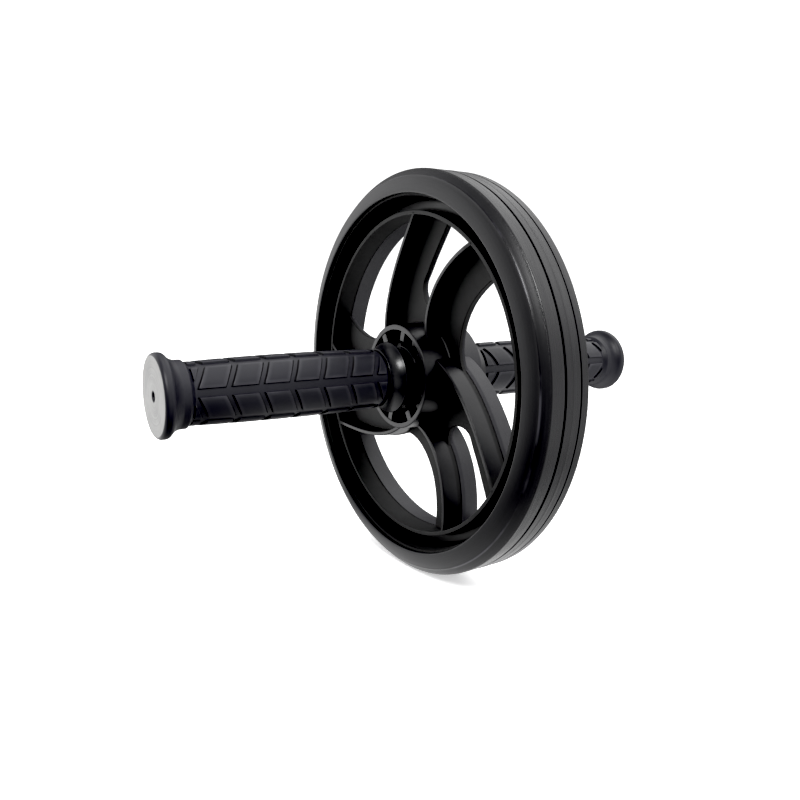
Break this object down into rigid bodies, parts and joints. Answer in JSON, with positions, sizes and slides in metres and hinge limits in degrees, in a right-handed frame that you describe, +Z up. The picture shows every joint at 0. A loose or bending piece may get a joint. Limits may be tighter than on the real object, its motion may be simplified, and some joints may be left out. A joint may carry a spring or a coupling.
{
  "type": "ab wheel roller",
  "caption": "Exercise roller: a rubber-tyred spoked wheel that turns freely on a straight axle with a block-patterned rubber grip on each side.",
  "frame": {"origin": "centre of the wheel, on the axle's centre line", "axes": "+Y along the axle towards the right grip, +Z up, +X the way the wheel rolls"},
  "size_m": [0.185, 0.25, 0.185],
  "materials": {
    "tyre_rubber": "satin",
    "wheel_plastic": "semi-gloss moulded",
    "bush_plastic": "plain",
    "plain_steel": "bright zinc",
    "black_steel": "black oxide",
    "collar_plastic": "gloss",
    "plug_plastic": "plain",
    "grip_rubber": "satin"
  },
  "bodies": {
    "handle_bar": {"axle_tube": "plain_steel", "tube_plug_left": "plug_plastic", "tube_plug_right": "plug_plastic", "grip_left": "grip_rubber", "grip_right": "grip_rubber", "collar_left": "collar_plastic", "collar_right": "collar_plastic", "retaining_ring_left": "black_steel", "retaining_ring_right": "black_steel", "thrust_washer_left": "black_steel", "thrust_washer_right": "black_steel"},
    "wheel": {"tyre": "tyre_rubber", "wheel_body": "wheel_plastic", "hub_bush_left": "bush_plastic", "hub_bush_right": "bush_plastic"}
  },
  "joints": [
    {"name": "wheel_spin", "type": "hinge", "parent": "handle_bar", "child": "wheel", "pos_m": [0, 0, 0], "axis": [0, 1, 0], "continuous": true}
  ]
}
